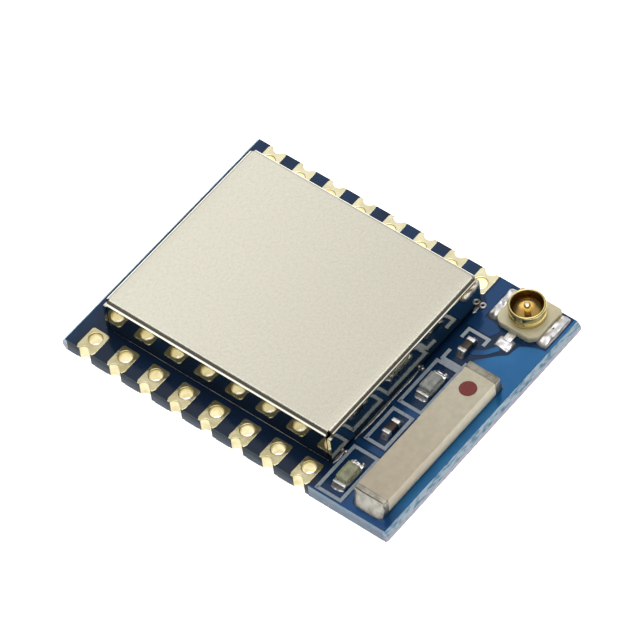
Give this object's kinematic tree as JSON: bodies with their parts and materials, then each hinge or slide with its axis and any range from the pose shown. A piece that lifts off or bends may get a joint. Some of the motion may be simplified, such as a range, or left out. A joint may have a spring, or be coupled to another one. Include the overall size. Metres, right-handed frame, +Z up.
{
  "type": "wifi module",
  "caption": "Surface-mount radio module: small board with two castellated pad rows, folded shield can, ceramic chip antenna and miniature coaxial antenna socket.",
  "frame": {"origin": "centre of the board's underside", "axes": "+X along the board towards the antenna end, +Y across it towards the row with the coaxial socket, +Z up through the shield can"},
  "size_m": [0.0212, 0.016, 0.0032],
  "materials": {
    "solder_mask": "gloss",
    "plated_gold": "satin",
    "can_metal": "satin",
    "solder": "satin",
    "antenna_ceramic": "satin",
    "tin_plating": "satin",
    "socket_resin": "matte",
    "socket_gold": "polished",
    "lamp_resin": "matte",
    "yellow_lens": "gloss",
    "clear_lens": "gloss",
    "resistor_glaze": "gloss",
    "capacitor_ceramic": "satin",
    "black_resin": "matte",
    "crystal_ceramic": "matte",
    "coil_ceramic": "satin"
  },
  "bodies": {
    "root": {"circuit_board": "solder_mask", "front_pads": "plated_gold", "back_pads": "plated_gold", "shield_can": "can_metal", "can_solder": "solder", "antenna_block": "antenna_ceramic", "antenna_bands": "tin_plating", "antenna_solder": "solder", "socket_base": "socket_resin", "socket_ring": "socket_gold", "socket_pin": "socket_gold", "socket_solder": "solder", "power_lamp_base": "lamp_resin", "power_lamp_lens": "yellow_lens", "power_lamp_terminals": "tin_plating", "signal_lamp_base": "lamp_resin", "signal_lamp_lens": "clear_lens", "signal_lamp_terminals": "tin_plating", "lamp_solder": "solder", "series_resistor": "resistor_glaze", "series_resistor_caps": "tin_plating", "coupling_capacitor": "capacitor_ceramic", "coupling_capacitor_caps": "tin_plating", "chip_solder": "solder", "radio_chip": "black_resin", "radio_lead_frame": "tin_plating", "memory_chip": "black_resin", "memory_leads": "tin_plating", "crystal_base": "crystal_ceramic", "crystal_lid": "tin_plating", "inner_resistors": "resistor_glaze", "inner_resistor_caps": "tin_plating", "inner_capacitors": "capacitor_ceramic", "inner_capacitor_caps": "tin_plating", "inner_coils": "coil_ceramic", "inner_coil_caps": "tin_plating"}
  },
  "joints": []
}
